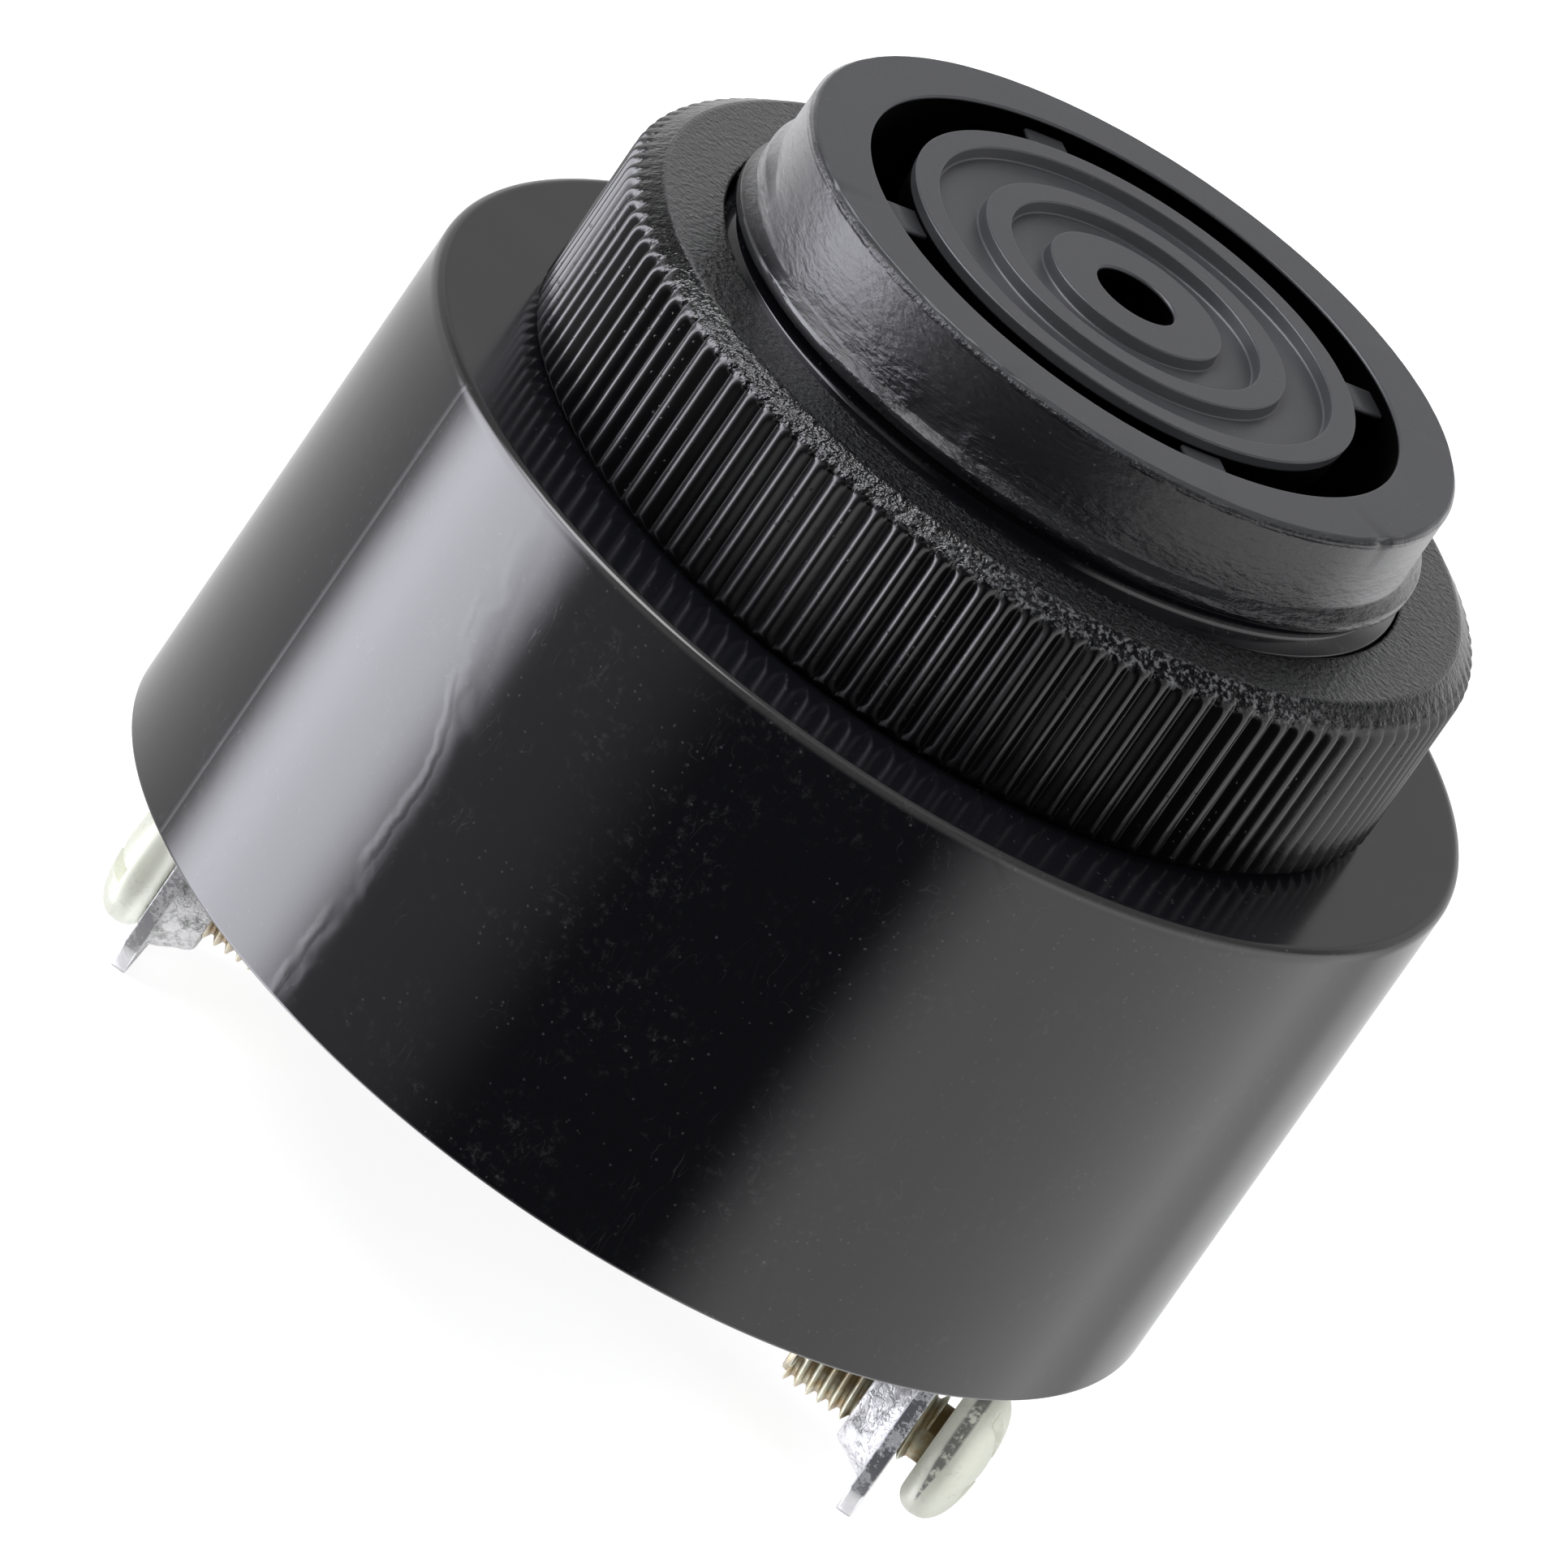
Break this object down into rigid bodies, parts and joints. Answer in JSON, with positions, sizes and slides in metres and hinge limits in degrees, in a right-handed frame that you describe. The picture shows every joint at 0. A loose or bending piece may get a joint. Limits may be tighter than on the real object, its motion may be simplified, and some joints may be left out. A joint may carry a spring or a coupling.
{
  "type": "piezo buzzer",
  "caption": "Round panel-mount piezo buzzer with a threaded neck, slotted grille face, knurled ring nut and two rear screw terminals.",
  "frame": {"origin": "centre of the shoulder face that seats against the back of the panel, on the neck's axis", "axes": "+Z along the neck, out of the sound outlet; X along the two terminal screws"},
  "size_m": [0.043, 0.043, 0.0434],
  "materials": {
    "housing_plastic": "gloss",
    "nut_plastic": "semi-gloss",
    "plate_brass": "satin",
    "piezo_ceramic": "silvered",
    "silicone": "satin",
    "board": "satin",
    "epoxy": "satin",
    "tinned_blade": "mottled tin",
    "zinc_screw": "bright zinc",
    "ferrite": "matt",
    "copper_wire": "enamelled",
    "can_sleeve": "gloss",
    "case_black": "satin",
    "resistor_coat": "lacquer",
    "tinned_lead": "tinned",
    "wire_black": "satin",
    "wire_red": "satin",
    "wire_blue": "satin"
  },
  "bodies": {
    "buzzer": {"housing": "housing_plastic", "piezo_plate": "plate_brass", "piezo_ceramic": "piezo_ceramic", "support_ring": "silicone", "circuit_board": "board", "potting": "epoxy", "terminal_right": "tinned_blade", "terminal_left": "tinned_blade", "choke_core": "ferrite", "choke_winding": "copper_wire", "choke_leads": "tinned_lead", "capacitor": "can_sleeve", "capacitor_leads": "tinned_lead", "transistor": "case_black", "transistor_leads": "tinned_lead", "resistor_a": "resistor_coat", "resistor_a_leads": "tinned_lead", "resistor_b": "resistor_coat", "resistor_b_leads": "tinned_lead", "resistor_c": "resistor_coat", "resistor_c_leads": "tinned_lead", "diode": "case_black", "diode_leads": "tinned_lead", "wire_plate": "wire_black", "wire_ceramic": "wire_red", "wire_feedback": "wire_blue"},
    "nut": {"ring_nut": "nut_plastic"},
    "right_screw": {"screw_right": "zinc_screw"},
    "left_screw": {"screw_left": "zinc_screw"}
  },
  "joints": [
    {"name": "nut_travel", "type": "slide", "parent": "buzzer", "child": "nut", "axis": [0, 0, 1], "range_m": [0, 0.0128]},
    {"name": "right_screw_travel", "type": "slide", "parent": "buzzer", "child": "right_screw", "axis": [1, 0, 0], "range_m": [-0.00085, 0.00565]},
    {"name": "left_screw_travel", "type": "slide", "parent": "buzzer", "child": "left_screw", "axis": [-1, 0, 0], "range_m": [0, 0.0065]}
  ]
}
